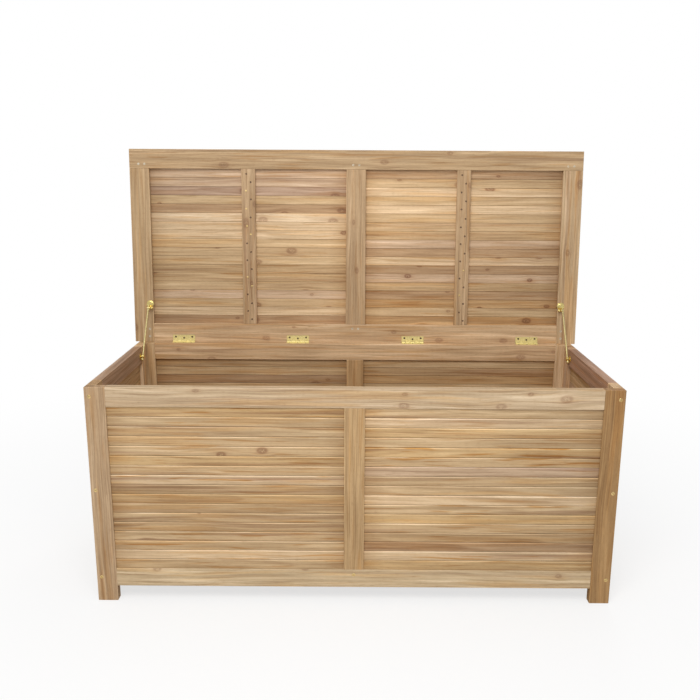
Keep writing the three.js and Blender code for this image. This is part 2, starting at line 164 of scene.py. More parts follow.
class Shader:
    """Adds shader nodes to a material and returns their outputs."""

    def __init__(self, name):
        self.material = bpy.data.materials.new(name)
        self.material.use_nodes = True
        self.tree = self.material.node_tree
        self.surface = self.tree.nodes["Principled BSDF"]

    def feed(self, socket, value):
        if isinstance(value, bpy.types.NodeSocket):
            self.tree.links.new(value, socket)
        else:
            socket.default_value = value

    def add(self, kind, *values, **settings):
        node = self.tree.nodes.new(kind)
        for name, value in settings.items():
            setattr(node, name, value)
        for socket, value in zip(node.inputs, values):
            self.feed(socket, value)
        return node

    def math(self, operation, *values):
        return self.add("ShaderNodeMath", *values, operation=operation).outputs[0]

    def vector(self, operation, *values):
        return self.add("ShaderNodeVectorMath", *values, operation=operation).outputs["Vector"]

    def length(self, vector):
        return self.add("ShaderNodeVectorMath", vector, operation="LENGTH").outputs["Value"]

    def attribute(self, name):
        return self.add("ShaderNodeAttribute", attribute_name=name).outputs["Vector"]

    def parts(self, vector):
        return self.add("ShaderNodeSeparateXYZ", vector).outputs

    def noise(self, vector, stretch, detail=2.0, shift=0.0):
        """Noise that varies this many times in a metre along, across and through a board."""
        place = self.vector("MULTIPLY_ADD", vector, stretch, (shift, shift, shift))
        node = self.add("ShaderNodeTexNoise", place)
        self.feed(node.inputs["Scale"], 1.0)
        self.feed(node.inputs["Detail"], detail)
        return node

    def level(self, vector, stretch, low, high, detail=2.0, shift=0.0):
        """Noise as a share from 0 to 1, which rises smoothly between two levels."""
        return self.smooth(self.noise(vector, stretch, detail, shift).outputs[0], low, high)

    def smooth(self, value, low, high):
        node = self.add("ShaderNodeMapRange", value, low, high, interpolation_type="SMOOTHSTEP")
        return node.outputs[0]

    def tint(self, colour, amount, by):
        """The colour multiplied by `by`, as far as the amount says."""
        change = tuple(share - 1 for share in by)
        factor = self.vector("MULTIPLY_ADD", amount, change, (1, 1, 1))
        return self.vector("MULTIPLY", colour, factor)

    def bump(self, height, strength, distance):
        node = self.add("ShaderNodeBump")
        self.feed(node.inputs["Height"], height)
        self.feed(node.inputs["Strength"], strength)
        self.feed(node.inputs["Distance"], distance)
        self.feed(self.surface.inputs["Normal"], node.outputs[0])

    def finish(self, colour, roughness, metallic=0.0, specular=0.5):
        self.feed(self.surface.inputs["Base Color"], colour)
        self.surface.inputs["Roughness"].default_value = roughness
        self.surface.inputs["Metallic"].default_value = metallic
        self.surface.inputs["Specular IOR Level"].default_value = specular
        return self.material


# ---------------------------------------------------------------- teak

RING_SPACING = 5.5 * mm
KNOT_CELLS = (4.6, 13.0, 1.0)    # places for a knot in a metre, along and across
KNOT_SHARE = 0.75                # the share of those places that have one
KNOT_SIZES = (3.0 * mm, 8.5 * mm)
KNOT_STRETCH = 0.6               # a knot's size across the grain for its size along it


def knots(shader, grain, allowed):
    """(distance to the nearest knot in its radii, its strength, the way across from its heart)."""
    cells = shader.vector("MULTIPLY", grain, KNOT_CELLS)
    found = shader.add("ShaderNodeTexVoronoi", cells, voronoi_dimensions="2D")
    found.inputs["Scale"].default_value = 1.0
    heart = shader.vector("DIVIDE", found.outputs["Position"], KNOT_CELLS)
    away = shader.vector("SUBTRACT", grain, heart)
    flat = shader.vector("MULTIPLY", away, (KNOT_STRETCH, 1, 0))
    chance, size, _ = shader.parts(found.outputs["Color"])
    strength = shader.math("MULTIPLY", shader.math("LESS_THAN", chance, KNOT_SHARE), allowed)
    least, most = KNOT_SIZES
    radius = shader.math("MULTIPLY_ADD", size, most - least, least)
    distance = shader.math("DIVIDE", shader.length(flat), radius)
    return distance, strength, away


def fading(shader, distance, reach):
    """1 at distance 0, falling as a bell curve of this reach."""
    share = shader.math("DIVIDE", distance, reach)
    falling = shader.math("MULTIPLY", shader.math("MULTIPLY", share, share), -1)
    return shader.math("EXPONENT", falling)


def teak(name, roughness, contrast):
    """Sanded teak: rings, streaks, knots and pores that run along each board's own grain.

    Each point of a board says where it is in the board (grain), the board's colour with the highlights and shade
    painted on it (tone), and how streaky it is, how knotty it is and whether it is on an end (figure)."""
    s = Shader(name)
    own = s.attribute("grain")
    streaky, knotty, on_end = s.parts(s.attribute("figure"))

    wander = s.vector("SUBTRACT", s.noise(own, (2.6, 8, 8), 1.5).outputs["Color"], (0.5, 0.5, 0.5))
    grain = s.vector("MULTIPLY_ADD", wander, (0, 0.022, 0.016), own)
    distance, strength, away = knots(s, grain, knotty)
    swirl = s.math("MULTIPLY", fading(s, distance, 2.6), strength)
    pulled = s.vector("MULTIPLY", away, (0, -0.8, 0))
    grain = s.vector("MULTIPLY_ADD", pulled, swirl, grain)

    along = s.parts(grain)[0]
    radius = s.length(s.vector("MULTIPLY", grain, (0, 1, 1)))
    radius = s.math("MULTIPLY_ADD", along, 0.006, radius)
    ring = s.math("FRACT", s.math("DIVIDE", radius, RING_SPACING))
    late = s.math("MULTIPLY", s.math("POWER", ring, 2.2), s.smooth(ring, 1.0, 0.86))
    ring_depth = s.level(grain, (0.8, 14, 14), 0.30, 0.62, 1.0, 31)
    late = s.math("MULTIPLY", late, ring_depth)

    streak = s.level(grain, (3.2, 95, 60), 0.34, 0.66, 3.0)
    line = s.level(grain, (4.5, 190, 150), 0.50, 0.66, 2.0, 17)
    fibre = s.level(grain, (8, 430, 430), 0.30, 0.70, 2.0, 3)
    mineral = s.level(grain, (1.1, 52, 34), 0.54, 0.68, 2.5, 7)
    flame = s.level(grain, (6, 120, 60), 0.56, 0.68, 2.0, 61)
    mineral, flame = (s.math("MULTIPLY", amount, streaky) for amount in (mineral, flame))
    warm = s.level(grain, (2.6, 48, 26), 0.52, 0.66, 2.0, 13)
    pale = s.level(grain, (3.0, 60, 36), 0.54, 0.68, 2.0, 23)
    pore = s.level(own, (60, 2600, 2600), 0.64, 0.76, 0.0, 41)
    broken = s.level(own, (260, 420, 420), 0.36, 0.60, 2.0, 53)
    heart = s.math("MULTIPLY", s.smooth(distance, 1.1, 0.5), strength)
    heart = s.math("MULTIPLY", heart, broken)
    rim = s.math("MULTIPLY", fading(s, s.math("SUBTRACT", distance, 1.0), 0.35), strength)

    colour = s.attribute("tone")
    for amount, by in (
        (streak, (1.23, 1.26, 1.30)),
        (line, (0.84, 0.81, 0.77)),
        (fibre, (1.08, 1.09, 1.10)),
        (late, (0.80, 0.74, 0.69)),
        (warm, (0.99, 0.91, 0.79)),
        (flame, (0.85, 0.70, 0.51)),
        (pale, (1.17, 1.21, 1.27)),
        (mineral, (0.76, 0.69, 0.68)),
        (pore, (0.80, 0.74, 0.68)),
    ):
        colour = s.tint(colour, amount, [1 + contrast * (share - 1) for share in by])
    colour = s.tint(colour, swirl, (0.88, 0.81, 0.75))
    colour = s.tint(colour, rim, (0.58, 0.46, 0.42))
    colour = s.tint(colour, heart, (0.44, 0.34, 0.32))
    colour = s.tint(colour, on_end, (0.80, 0.74, 0.66))

    height = s.math("MULTIPLY_ADD", late, -0.35, s.math("MULTIPLY", fibre, 0.5))
    height = s.math("MULTIPLY_ADD", pore, -0.8, height)
    s.bump(height, 0.5, 0.25 * mm)
    return s.finish(colour, roughness, specular=0.35)


def brass(name, colour, worn, roughness, metallic=1.0):
    """Brass with faint mottling, and a brushed surface too fine to see as lines."""
    s = Shader(name)
    place = s.add("ShaderNodeTexCoord").outputs["Object"]
    mottle = s.level(place, (260, 260, 260), 0.35, 0.70, 3.0)
    brushed = s.noise(place, (900, 5200, 5200), 1.0, 5).outputs[0]
    s.bump(brushed, 0.15, 0.05 * mm)
    return s.finish(s.tint(colour, mottle, worn), roughness, metallic=metallic)


FRAME_TEAK = teak("teak_frame_wood", 0.62, 1.15)
SLAT_TEAK = teak("teak_slat_wood", 0.64, 1.0)
BRASS = brass("polished_brass", linear(244, 222, 146), (0.86, 0.81, 0.70), 0.26, 0.95)
LEAF_BRASS = brass("satin_brass", linear(240, 224, 158), (0.80, 0.77, 0.68), 0.46, 0.5)
ROD_BRASS = brass("drawn_brass", linear(228, 212, 156), (0.80, 0.76, 0.66), 0.32, 0.92)
SCREW_BRASS = brass("screw_brass", linear(226, 200, 140), (0.80, 0.74, 0.62), 0.38)
DARK_SCREW = brass("aged_screw_metal", linear(88, 66, 52), (0.70, 0.66, 0.62), 0.6, 0.6)

# ---------------------------------------------------------------- colours of single boards

TONES = {
    "cream": linear(204, 177, 143),
    "pale": linear(200, 171, 134),
    "rose": linear(184, 155, 125),
    "tan": linear(186, 156, 117),
    "honey": linear(188, 155, 110),
    "brown": linear(176, 145, 106),
    "amber": linear(171, 136, 94),
    "umber": linear(163, 131, 97),
    "mauve": linear(168, 139, 115),
    "rail": linear(171, 142, 106),
    "light_rail": linear(183, 159, 125),
    "top_rail": linear(177, 153, 122),
    "stile": linear(179, 151, 116),
    "hinge_rail": linear(189, 157, 120),
    "ochre_rail": linear(168, 137, 97),
    "dim_rail": linear(171, 141, 106),
    "end_rail": linear(166, 136, 110),
    "red_end_rail": linear(163, 128, 104),
    "leg": linear(165, 137, 105),
    "dark_leg": linear(147, 113, 72),
    "peg": linear(204, 197, 180),
}
LIKELY_TONES = ("pale", "tan", "tan", "rose", "honey", "brown", "brown", "amber", "umber")

# From the top of each wall bay down, and from the front edge of the lid to its hinges.
SLAT_TONES = {
    "front_slats_left": (
        "honey tan tan tan tan honey tan pale brown honey brown tan brown tan tan pale tan"
    ),
    "front_slats_right": (
        "tan pale honey tan honey tan rose tan tan pale tan honey tan brown umber pale honey"
    ),
    "lid_slats_left": (
        "rose rose mauve tan umber cream pale pale tan tan tan brown brown tan rose tan pale umber"
    ),
    "lid_slats_right": (
        "umber tan pale tan pale tan tan brown rose "
        "umber pale umber rose brown umber amber tan amber"
    ),
}
# How light the slats of a bay are, and how much that grows from their middle to the far end.
# The darkening towards the box's ends is partly the slats' own tone and partly a painted fall-off of light.
BAY_SHADES = {
    "front_slats_left": (0.88, 0.0),
    "front_slats_right": (0.87, -0.11),
    "lid_slats_left": (1.06, -0.15),
    "lid_slats_right": (1.10, 0.15),
}
MEMBER_TONES = {
    "front_left_leg": "leg",
    "front_right_leg": "dark_leg",
    "front_top_rail": "top_rail",
    "front_bottom_rail": "light_rail",
    "front_centre_stile": "ochre_rail",
    "back_top_rail": "hinge_rail",
    "left_end_top_rail": "end_rail",
    "right_end_top_rail": "red_end_rail",
    "lid_front_rail": "rail",
    "lid_rear_rail": "hinge_rail",
    "lid_left_stile": "rail",
    "lid_right_stile": "stile",
    "lid_centre_stile": "dim_rail",
    "lid_batten_left": "dim_rail",
    "lid_batten_right": "dim_rail",
}


MEMBER_STREAKS = 0.7
FRONT_SLATS = {"knotty": 0.15, "streaks": 1.4}
LID_SLAT_LOOKS = {"gap": LID_SLAT_GAP, "knotty": 0.7, "streaks": 0.7}


class Look:
    """What the teak material reads for one board: its colour, its figure and its place in a log."""

    def __init__(self, seed, tone=None, streaks=1.0, knots=1.0, light=1.0, drift=0.0):
        draw = random.Random(seed)
        self.drift = drift
        shade = light * draw.uniform(0.95, 1.05)
        self.tone = TONES[tone or draw.choice(LIKELY_TONES)] * shade
        self.streaks = streaks * draw.uniform(0.4, 1.0)
        self.knots = knots
        # Flat sawn boards have the heart of the log behind their face, quarter sawn ones beside it.
        if draw.random() < 0.5:
            across, through = draw.uniform(-12, 12), draw.uniform(22, 60)
        else:
            across, through = draw.uniform(50, 140), draw.uniform(-15, 15)
        self.offset = Vector((draw.uniform(0, 90), across * mm, through * mm))


# ---------------------------------------------------------------- boards


def teak_piece(name, boards, body, material, replaced=None):
    """One piece from boards, each given as (mesh in its own space, matrix to the drawing, look)."""
    points, faces, grain, tone, figure = [], [], [], [], []
    for shape, place, look in boards:
        place = to_rest(body) @ place
        first = len(points)
        shape.verts.index_update()
        end = max(vert.co.x for vert in shape.verts)
        shades = shape.verts.layers.float.get("shade")
        for vert in shape.verts:
            on_end = abs(abs(vert.co.x) - end) < 0.01 * mm
            points.append(place @ vert.co)
            grain.append(vert.co + look.offset)
            # shade is the painted highlight or painted shade at this point of the board
            shade = vert[shades] if shades else 1
            # drift darkens a slat along its length: partly its own tone and partly a painted fall-off of light
            drift = 1 + look.drift * vert.co.x / end
            parts = zip(look.tone, SHADE_POWERS)
            tone.append(Vector(part * shade**power * drift for part, power in parts))
            figure.append((look.streaks, look.knots, float(on_end)))
        for face in shape.faces:
            faces.append([first + vert.index for vert in face.verts])
        shape.free()
    mesh = bpy.data.meshes.new(name)
    mesh.from_pydata(points, [], faces)
    for label, values in (("grain", grain), ("tone", tone), ("figure", figure)):
        layer = mesh.attributes.new(label, "FLOAT_VECTOR", "POINT")
        layer.data.foreach_set("vector", [part for value in values for part in value])
    piece = link(name, mesh, body, material)
    if replaced:
        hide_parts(replaced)


def link(name, mesh, body, material):
    mesh.materials.append(material)
    piece = bpy.data.objects.new(name, mesh)
    bpy.context.scene.collection.objects.link(piece)
    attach(piece, body)
    return piece


def member_shape(node, place):
    """A frame member as the CAD has it, tenons and grooves too, with its outer edges rounded."""
    shape = bmesh.new()
    shape.from_mesh(frame["nodes"][node].data)
    if BODY_OF[node] == "lid":
        shape.transform(TO_SHUT)
    shape.transform(place.inverted())
    bmesh.ops.remove_doubles(shape, verts=shape.verts, dist=0.01 * mm)
    bmesh.ops.dissolve_limit(
        shape, angle_limit=math.radians(1), verts=shape.verts, edges=shape.edges
    )
    half = [max(vert.co[axis] for vert in shape.verts) for axis in range(3)]

    def outermost(edge, axis):
        return all(abs(abs(vert.co[axis]) - half[axis]) < 0.05 * mm for vert in edge.verts)

    outer = [
        edge
        for edge in shape.edges
        if sum(outermost(edge, axis) for axis in range(3)) >= 2
        and edge.is_manifold
        and edge.calc_face_angle() > math.radians(60)
    ]
    bmesh.ops.bevel(
        shape, geom=outer, offset=ARRIS, segments=3, profile=0.5, affect="EDGES", clamp_overlap=True
    )
    # the rounded edges get a painted highlight
    shades = shape.verts.layers.float.new("shade")
    for vert in shape.verts:
        inset = [half[axis] - abs(vert.co[axis]) for axis in range(3)]
        rounded = sum(0.02 * mm < depth < ARRIS for depth in inset) >= 2
        vert[shades] = ARRIS_HIGHLIGHT if rounded else 1
    return shape


def member(node, outward, knots=0.5):
    """One frame member, with the grain along it and its better face outward."""
    low, high = drawn_box(node)
    size = high - low
    by_size = sorted((X, Y, Z), key=lambda axis: size.dot(axis))
    across = next(axis for axis in by_size[:2] if abs(axis.dot(outward)) < 0.5)
    place = own_space(across, outward, (low + high) / 2)
    look = Look(node, MEMBER_TONES.get(node), MEMBER_STREAKS, knots)
    shape = member_shape(node, place)
    boards = [(shape, place, look)]
    teak_piece(f"{node}_timber", boards, BODY_OF[node], FRAME_TEAK, node)


def slat_section(low, high, face, tongued, first, last):
    """The (across, outward, shade) points round a slat: a groove below and a tongue above."""
    outer, lower, inner = SLAT_CHAMFER, SHADOW_CHAMFER, INNER_CHAMFER
    # painted shade on the lower outer chamfer, in the groove and on the tongue
    points = [(low + lower, face, 1), (low, face - lower, JOINT_SHADE)]
    if tongued and not first:
        lip, bottom = TONGUE / 2 + TONGUE_PLAY, low + TONGUE_REACH + TONGUE_PLAY
        groove = (low, lip), (bottom, lip), (bottom, -lip), (low, -lip)
        points += [(across, out, JOINT_SHADE) for across, out in groove]
    # painted shade along the back edges
    points += [
        (low, inner - face, BACK_EDGE_SHADE), (low + inner, -face, 1),
        (high - inner, -face, 1), (high, inner - face, BACK_EDGE_SHADE),
    ]
    if tongued and not last:
        half, reach = TONGUE / 2, high + TONGUE_REACH
        tongue = (high, -half), (reach, -half), (reach, half), (high, half)
        points += [(across, out, JOINT_SHADE) for across, out in tongue]
    # painted highlight along the upper outer chamfer
    return points + [
        (high, face - 0.8 * outer, CHAMFER_HIGHLIGHT), (high - 0.35 * outer, face - 0.22 * outer, CHAMFER_HIGHLIGHT),
        (high - 0.8 * outer, face - 0.03 * outer, CHAMFER_HIGHLIGHT), (high - outer, face, 1),
    ]


def slat_shape(section, length, bow):
    """A section run along the grain, bowed out of its plane in the middle."""
    shape = bmesh.new()
    shades = shape.verts.layers.float.new("shade")
    rings = []
    for station in range(STATIONS + 1):
        share = 2 * station / STATIONS - 1
        rise = bow * (1 - share**2)
        x = share * length / 2
        rings.append([shape.verts.new((x, across, out + rise)) for across, out, _ in section])
        for vert, (_, _, shade) in zip(rings[-1], section):
            vert[shades] = shade
    count = len(section)
    for near, far in zip(rings, rings[1:]):
        for k in range(count):
            turn = (k + 1) % count
            shape.faces.new((near[k], near[turn], far[turn], far[k]))
    shape.faces.new(rings[0])
    shape.faces.new(rings[-1])
    bmesh.ops.recalc_face_normals(shape, faces=shape.faces)
    return shape


def bay(node, count, across, outward, gap=SLAT_GAP, tongued=True, knotty=0.25, streaks=1.0):
    """The slats of one bay, each as (shape, place, look), in the order of their across axis."""
    low, high = drawn_box(node)
    centre = (low + high) / 2
    place = own_space(across, outward, centre)
    size = high - low
    width = abs(size.dot(across)) - 2 * SLAT_REACH
    pitch = width / count
    length = abs(size.dot(across.cross(outward)))
    face = abs(size.dot(outward)) / 2
    tones = SLAT_TONES.get(node, "").split() or [None] * count
    light, drift = BAY_SHADES.get(node, (1.0, 0.0))
    slats = []
    for index in range(count):
        draw = random.Random(f"{node} {index}")
        first, last = index == 0, index == count - 1
        middle = (index + 0.5) * pitch - width / 2
        reach = pitch / 2 - gap / 2
        low_edge = -reach - (SLAT_REACH if first else 0)
        high_edge = reach + (SLAT_REACH if last else 0)
        section = slat_section(low_edge, high_edge, face, tongued, first, last)
        shape = slat_shape(section, length, draw.uniform(-0.3, 0.3) * mm)
        proud = draw.uniform(-0.15, 0.15) * mm
        here = place @ Matrix.Translation((0, middle, proud))
        knots = draw.uniform(0.5, 1.0) * (draw.random() < knotty)
        look = Look(f"{node} {index}", tones[-1 - index], streaks, knots, light, drift)
        slats.append((shape, here, look))
    return slats


def single_slats(node, label, count, across, outward, **options):
    """A bay as one piece for each slat, numbered from its far edge."""
    for index, slat in enumerate(reversed(bay(node, count, across, outward, **options))):
        name = f"{label}_{index + 1:02d}"
        teak_piece(name, [slat], BODY_OF[node], SLAT_TEAK, node)


def joined_slats(node, count, across, outward, **options):
    slats = bay(node, count, across, outward, **options)
    teak_piece(f"{node}_timber", slats, BODY_OF[node], SLAT_TEAK, node)


def walls():
    for wall, outward in (("front", -Y), ("back", Y)):
        for part in ("left_leg", "right_leg", "centre_stile"):
            member(f"{wall}_{part}", outward, knots=0.0)
        for part in ("top_rail", "bottom_rail"):
            member(f"{wall}_{part}", outward)
    for end, outward in (("left", -X), ("right", X)):
        for part in ("front_stile", "back_stile", "top_rail", "bottom_rail"):
            member(f"{end}_end_{part}", outward)
        joined_slats(f"{end}_end_slats", WALL_SLATS, Z, outward)
    for side in ("left", "right"):
        label = f"front_slat_{side}"
        single_slats(f"front_slats_{side}", label, WALL_SLATS, Z, -Y, **FRONT_SLATS)
        joined_slats(f"back_slats_{side}", WALL_SLATS, Z, Y)


def floor_boards():
    for side in ("left", "centre", "right"):
        member(f"floor_bearer_{side}", Z)
    for side in ("left", "right"):
        joined_slats(f"floor_boards_{side}", FLOOR_BOARDS, Y, Z, gap=FLOOR_GAP, tongued=False)


def lid():
    for part in ("front_rail", "rear_rail", "left_stile", "right_stile", "centre_stile"):
        member(f"lid_{part}", Z)
    for side in ("left", "right"):
        member(f"lid_batten_{side}", -Z)
        label = f"lid_slat_{side}"
        single_slats(f"lid_slats_{side}", label, LID_SLATS, -Y, Z, **LID_SLAT_LOOKS)


# ---------------------------------------------------------------- metal shapes


def lathe(profile, segments=36):
    """A solid of revolution about z. Its (radius, height) points start and end on the axis."""
    shape = bmesh.new()
    rings = []
    for radius, height in profile:
        turns = [2 * math.pi * k / segments for k in range(segments if radius else 1)]
        rings.append(
            [shape.verts.new((radius * math.cos(t), radius * math.sin(t), height)) for t in turns]
        )
    for lower, upper in zip(rings, rings[1:]):
        for k in range(segments):
            ends = (lower, k), (lower, k + 1), (upper, k + 1), (upper, k)
            corners = [ring[step % len(ring)] for ring, step in ends]
            shape.faces.new(list(dict.fromkeys(corners)))
    bmesh.ops.recalc_face_normals(shape, faces=shape.faces)
    return shape


def turned(shape, matrix):
    shape.transform(matrix)
    return shape


def block(low, high):
    shape = bmesh.new()
    bmesh.ops.create_cube(shape, size=1)
    size = Vector(high) - Vector(low)
    middle = (Vector(high) + Vector(low)) / 2
    return turned(shape, Matrix.Translation(middle) @ Matrix.Diagonal(size.to_4d()))


def rounded_rod(radius, start, end, chamfer):
    """A rod along z with chamfered ends."""
    return lathe([
        (0, start), (radius - chamfer, start), (radius, start + chamfer),
        (radius, end - chamfer), (radius - chamfer, end), (0, end),
    ])


def to_mesh(shape, name="shape"):
    mesh = bpy.data.meshes.new(name)
    shape.to_mesh(mesh)
    shape.free()
    return mesh


def combined(first, second, operation):
    """One solid with another joined to it or cut from it."""
    base, tool = (bpy.data.objects.new("shape", to_mesh(shape)) for shape in (first, second))
    for part in (base, tool):
        bpy.context.scene.collection.objects.link(part)
    change = base.modifiers.new("change", "BOOLEAN")
    change.operation, change.object, change.solver = operation, tool, "EXACT"
    graph = bpy.context.evaluated_depsgraph_get()
    mesh = bpy.data.meshes.new_from_object(base.evaluated_get(graph), depsgraph=graph)
    result = bmesh.new()
    result.from_mesh(mesh)
    for part in (base, tool):
        bpy.data.objects.remove(part)
    bpy.data.meshes.remove(mesh)
    return result


SMOOTH_BELOW = math.radians(32)


def metal_piece(name, shape, body, material, replaced=None):
    mesh = to_mesh(shape, name)
    mesh.transform(to_rest(body))
    mesh.shade_smooth()
    mesh.set_sharp_from_angle(angle=SMOOTH_BELOW)
    piece = link(name, mesh, body, material)
    if replaced:
        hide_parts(replaced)


def facing(direction, centre):
    """The matrix that turns +z to a direction and moves the origin to a centre."""
    turn = Vector(direction).to_track_quat("Z", "Y").to_matrix().to_4x4()
    return Matrix.Translation(centre) @ turn


def slotted_screw(radius, dome, depth):
    """A countersunk head with its rim at z = 0, slightly domed, with a straight slot."""
    profile = [(0, -depth), (0.35 * radius, -depth), (0.94 * radius, -0.12 * radius), (radius, 0)]
    steps = 5
    for step in range(steps):
        turn = (step + 1) / (steps + 1) * math.pi / 2
        profile.append((radius * math.cos(turn), dome * math.sin(turn)))
    head = lathe(profile + [(0, dome)], 28)
    width = 0.13 * radius
    cut = block((-2 * radius, -width, dome - 0.34 * radius), (2 * radius, width, 2 * radius))
    return combined(head, cut, "DIFFERENCE")


def screws(name, places, radius, body, material, seed, dome=0.18):
    """Screw heads in one piece, with slots that lie anyhow. Each place is (point, direction)."""
    draw = random.Random(seed)
    template = to_mesh(slotted_screw(radius, dome * radius, radius))
    whole = bmesh.new()
    for centre, direction in places:
        mesh = template.copy()
        turn = Matrix.Rotation(draw.uniform(0, math.pi), 4, "Z")
        mesh.transform(facing(direction, centre) @ turn)
        whole.from_mesh(mesh)
        bpy.data.meshes.remove(mesh)
    metal_piece(name, whole, body, material)


# ---------------------------------------------------------------- hinges


def leaf_shape(lid_side):
    """One leaf about the hinge axis with the lid shut: plate, knuckles and screw holes."""
    half = HINGE_LENGTH / 2
    near = LEAF_NEAR if lid_side else -LEAF_NEAR - LEAF_THICKNESS
    plate = block((-half, -LEAF_REACH, near), (half, -LEAF_EDGE, near + LEAF_THICKNESS))
    upright_edges = [
        edge for edge in plate.edges
        if abs((edge.verts[0].co - edge.verts[1].co).z) > mm
        and all(vert.co.y < -LEAF_REACH / 2 for vert in edge.verts)
    ]
    bmesh.ops.bevel(
        plate, geom=upright_edges, offset=LEAF_CORNER, segments=4, profile=0.5, affect="EDGES"
    )
    length = HINGE_LENGTH / KNUCKLES
    for index in range(1 if lid_side else 0, KNUCKLES, 2):
        start = -half + index * length + KNUCKLE_GAP / 2
        end = start + length - KNUCKLE_GAP
        tab = block((start, -LEAF_EDGE - mm, near), (end, -HINGE_PIN_RADIUS, near + LEAF_THICKNESS))
        barrel = rounded_rod(KNUCKLE_RADIUS, start, end, KNUCKLE_ROUNDING)
        barrel = turned(barrel, facing(X, (0, 0, 0)))
        plate = combined(combined(plate, tab, "UNION"), barrel, "UNION")
    outward = -1 if lid_side else 1
    face = near if lid_side else near + LEAF_THICKNESS
    hole, rim = 1.9 * mm, HINGE_SCREW_RADIUS + 0.25 * mm
    for x, y in HINGE_SCREWS:
        sink = lathe([
            (0, -3 * mm), (hole, -3 * mm), (hole, -1.6 * mm), (rim, 0.02 * mm), (rim, mm), (0, mm),
        ])
        plate = combined(plate, turned(sink, facing((0, 0, outward), (x, y, face))), "DIFFERENCE")
    bore = rounded_rod(HINGE_PIN_RADIUS + PLAY, -half - mm, half + mm, 0)
    bore = turned(bore, facing(X, (0, 0, 0)))
    return combined(plate, bore, "DIFFERENCE"), face, outward


def hinges():
    for body, part, lid_side in (("box", "box_leaf", False), ("lid", "lid_leaf", True)):
        shape, face, outward = leaf_shape(lid_side)
        template = to_mesh(shape)
        for number in range(1, 5):
            node = f"hinge_{number}_{part}"
            low, high = drawn_box(node)
            centre = Vector(((low.x + high.x) / 2, HINGE.y, HINGE.z))
            leaf = bmesh.new()
            leaf.from_mesh(template)
            leaf = turned(leaf, Matrix.Translation(centre))
            metal_piece(f"{node}_brass", leaf, body, LEAF_BRASS, node)
            places = [
                (centre + Vector((x, y, face - outward * HINGE_SCREW_SINK)), (0, 0, outward))
                for x, y in HINGE_SCREWS
            ]
            name = f"hinge_{number}_{part.split('_')[0]}_screws"
            screws(name, places, HINGE_SCREW_RADIUS, body, DARK_SCREW, name, dome=0.06)
    for number in range(1, 5):
        node = f"hinge_{number}_pin"
        low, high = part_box(node)
        radius, dome = HINGE_PIN_RADIUS, 0.5 * mm
        start, end = low.x, high.x
        pin = lathe([
            (0, start), (0.6 * radius, start + 0.1 * mm), (radius, start + dome),
            (radius, end - dome), (0.6 * radius, end - 0.1 * mm), (0, end),
        ])
        centre = (0, HINGE.y, HINGE.z)
        metal_piece(f"{node}_brass", turned(pin, facing(X, centre)), "box", SCREW_BRASS, node)


# ---------------------------------------------------------------- lid stays

PLATE_RADIUS = 12.5 * mm
PLATE_BEHIND_PIVOT = 13 * mm
LUG_THICKNESS = 4.5 * mm
LUG_RADIUS = 4.6 * mm
PIVOT_RADIUS = 2 * mm
PIVOT_HEAD_RADIUS = 3.4 * mm
PIVOT_HEAD_THICKNESS = 1.2 * mm
KNOB_RADIUS = 4.8 * mm
EYE_RADIUS = 5.5 * mm
EYE_WIDTH = 5.4 * mm
FERRULE_RADIUS = 3.9 * mm
FERRULE_END = 10.8 * mm
ROD_RADIUS = 3 * mm
STOP_RADIUS = 4.6 * mm
STOP_LENGTH = 6 * mm
STOP_PLAY = 0.5 * mm
BOSS_RADIUS = 7 * mm
BOSS_HALF_WIDTH = 5.2 * mm
TRUNNION_RADIUS = 3 * mm
BOX_PLATE_RADIUS = 11 * mm
LID_PLATE_SCREW = (1.9 * mm, -5.6 * mm)    # its radius, and its place beyond the middle
BOX_PLATE_SCREW = (1.6 * mm, 8.4 * mm)


def stay_lid_plate(side, sign, pivot):
    """A dished rosette on the lid's underside with the lug that holds the pivot pin."""
    node = f"{side}_stay_lid_plate"
    low, high = drawn_box(node)
    top = high.z
    middle_x = low.x + PLATE_RADIUS if sign < 0 else high.x - PLATE_RADIUS
    centre = Vector((middle_x, pivot.y - PLATE_BEHIND_PIVOT, top))
    radius = PLATE_RADIUS
    rosette = lathe([
        (0, 0), (radius, 0), (radius, 0.7 * mm), (0.93 * radius, 1.3 * mm),
        (0.84 * radius, 1.2 * mm), (0.76 * radius, 1.5 * mm), (0.66 * radius, 2 * mm), (0, 2 * mm),
    ], 56)
    rosette = turned(rosette, facing(-Z, centre))
    inner = sign * (abs(pivot.x) - EYE_WIDTH / 2 - PLAY - LUG_THICKNESS)
    outer = sign * (abs(pivot.x) - EYE_WIDTH / 2 - PLAY)
    start, end = sorted((inner, outer))
    across = facing(X, (0, pivot.y, pivot.z))
    lug = block((start, pivot.y - LUG_RADIUS, pivot.z), (end, pivot.y + LUG_RADIUS, top - mm))
    cheek = turned(rounded_rod(LUG_RADIUS, start, end, 0.3 * mm), across)
    bore = turned(rounded_rod(PIVOT_RADIUS + PLAY, start - mm, end + mm, 0), across)
    shape = combined(combined(rosette, lug, "UNION"), cheek, "UNION")
    metal_piece(f"{node}_brass", combined(shape, bore, "DIFFERENCE"), "lid", BRASS, node)
    radius, step = LID_PLATE_SCREW
    places = [(centre + Vector((0, step, -2.05 * mm)), (0, 0, -1))]
    screws(f"{side}_stay_lid_screw", places, radius, "lid", SCREW_BRASS, f"{side} stay lid")


